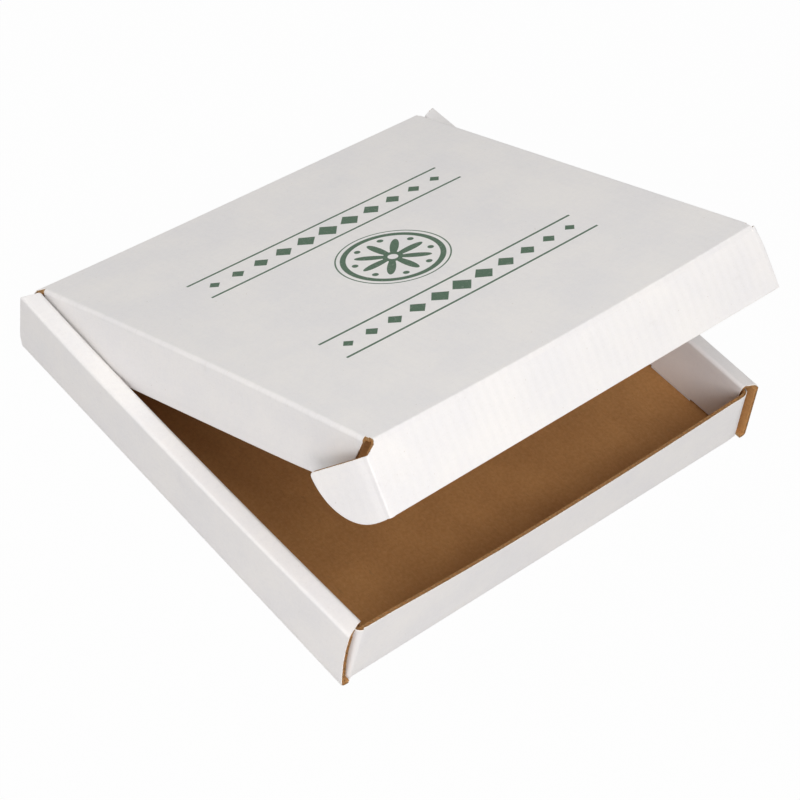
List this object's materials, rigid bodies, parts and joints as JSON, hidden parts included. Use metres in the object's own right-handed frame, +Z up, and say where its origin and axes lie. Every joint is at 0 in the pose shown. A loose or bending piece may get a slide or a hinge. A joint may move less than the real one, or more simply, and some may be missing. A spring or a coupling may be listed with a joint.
{
  "type": "tuck end box",
  "caption": "Flat corrugated box folded from one sheet, with double side walls and a hinged lid whose front flap and ears tuck inside.",
  "frame": {"origin": "on the underside of the bottom, midway between the side walls and midway between their ends", "axes": "+X to the right seen from the front, +Y from the front flap towards the lid's hinge, +Z up"},
  "size_m": [0.326, 0.298, 0.1556],
  "materials": {
    "white_board": "matte",
    "printed_board": "matte"
  },
  "bodies": {
    "tray": {"tray": "white_board"},
    "lid": {"lid": "printed_board"},
    "front_flap": {"front_flap": "white_board"},
    "ear_left": {"ear_left": "white_board"},
    "ear_right": {"ear_right": "white_board"},
    "side_flap_left": {"side_flap_left": "white_board"},
    "side_flap_right": {"side_flap_right": "white_board"}
  },
  "joints": [
    {"name": "lid_hinge", "type": "hinge", "parent": "tray", "child": "lid", "pos_m": [0, 0.1462, 0.0422], "axis": [-1, 0, 0], "range_deg": [-23.3, 66.7]},
    {"name": "front_flap_crease", "type": "hinge", "parent": "lid", "child": "front_flap", "pos_m": [0, -0.11409, 0.1543], "axis": [-1, 0, 0], "range_deg": [-26.2, 74.8]},
    {"name": "ear_left_crease", "type": "hinge", "parent": "front_flap", "child": "ear_left", "pos_m": [-0.149, -0.11409, 0.1543], "axis": [0, -0.7108, -0.7034], "range_deg": [-42, 15]},
    {"name": "ear_right_crease", "type": "hinge", "parent": "front_flap", "child": "ear_right", "pos_m": [0.149, -0.11409, 0.1543], "axis": [0, 0.7108, 0.7034], "range_deg": [-42, 15]},
    {"name": "side_flap_left_crease", "type": "hinge", "parent": "lid", "child": "side_flap_left", "pos_m": [-0.1444, 0.14569, 0.04101], "axis": [0, -0.9184, 0.3955], "range_deg": [0, 83]},
    {"name": "side_flap_right_crease", "type": "hinge", "parent": "lid", "child": "side_flap_right", "pos_m": [0.1444, 0.14569, 0.04101], "axis": [0, 0.9184, -0.3955], "range_deg": [0, 83]}
  ],
  "couplings": [
    {"joint": "front_flap_crease", "follows": "lid_hinge", "ratio": 1.12},
    {"joint": "ear_left_crease", "follows": "lid_hinge", "ratio": -0.62},
    {"joint": "ear_right_crease", "follows": "lid_hinge", "ratio": -0.62}
  ]
}
